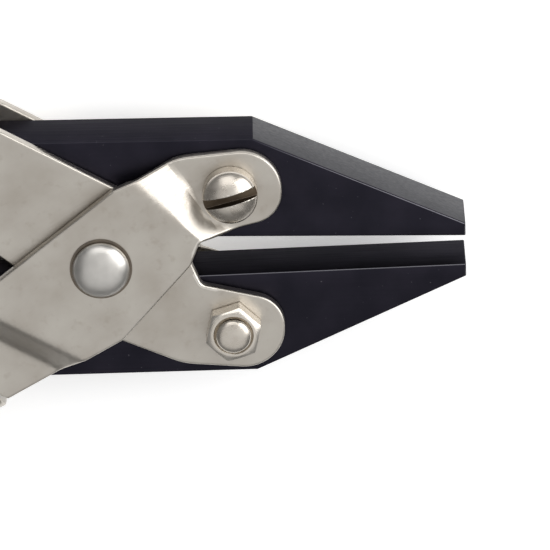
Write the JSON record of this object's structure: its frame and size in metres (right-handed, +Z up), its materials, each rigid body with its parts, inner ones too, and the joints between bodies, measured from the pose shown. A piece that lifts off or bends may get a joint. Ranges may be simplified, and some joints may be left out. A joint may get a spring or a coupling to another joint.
{
  "type": "flat nose pliers",
  "caption": "Parallel-action flat nose pliers: smooth blackened flat jaws on pivot screws between two crossed channel-section pressed handles.",
  "frame": {"origin": "on the bench surface, under the middle of the tool's length and width at rest; the centre rivets' axis passes through x = 0.030075, y = 0", "axes": "+X along the tool to the jaw tips, +Y across it, the way the upper jaw opens, +Z up through its thickness, along every pivot axis"},
  "size_m": [0.1398, 0.0526, 0.0175],
  "materials": {
    "handle_plating": "satin nickel plate over pressed steel sheet",
    "jaw_steel": "black oxide over ground tool steel, satin",
    "rivet_plating": "nickel plate on a hammered dome",
    "fastener_plating": "nickel plate on turned steel",
    "pin_steel": "ground steel, nickel plated ends"
  },
  "bodies": {
    "handle_a": {"handle_a": "handle_plating", "centre_rivet_front": "rivet_plating", "upper_pivot_screw": "fastener_plating", "upper_pivot_nut": "fastener_plating", "lower_slide_pin": "pin_steel"},
    "handle_b": {"handle_b": "handle_plating", "centre_rivet_back": "rivet_plating", "lower_pivot_screw": "fastener_plating", "lower_pivot_nut": "fastener_plating", "upper_slide_pin": "pin_steel"},
    "upper_jaw": {"upper_jaw": "jaw_steel"},
    "lower_jaw": {"lower_jaw": "jaw_steel"}
  },
  "joints": [
    {"name": "handle_pivot", "type": "hinge", "parent": "handle_a", "child": "handle_b", "pos_m": [0.03008, 0, 0.00875], "axis": [0, 0, -1], "range_deg": [-12.5, 28]},
    {"name": "upper_jaw_pivot", "type": "hinge", "parent": "handle_a", "child": "upper_jaw", "pos_m": [0.04433, 0.0079, 0.00875], "axis": [0, 0, -1], "range_deg": [-6.25, 14]},
    {"name": "lower_jaw_pivot", "type": "hinge", "parent": "handle_b", "child": "lower_jaw", "pos_m": [0.04433, -0.0079, 0.00875], "axis": [0, 0, 1], "range_deg": [-6.25, 14]}
  ],
  "couplings": [
    {"joint": "upper_jaw_pivot", "follows": "handle_pivot", "ratio": 0.5},
    {"joint": "lower_jaw_pivot", "follows": "handle_pivot", "ratio": 0.5}
  ]
}
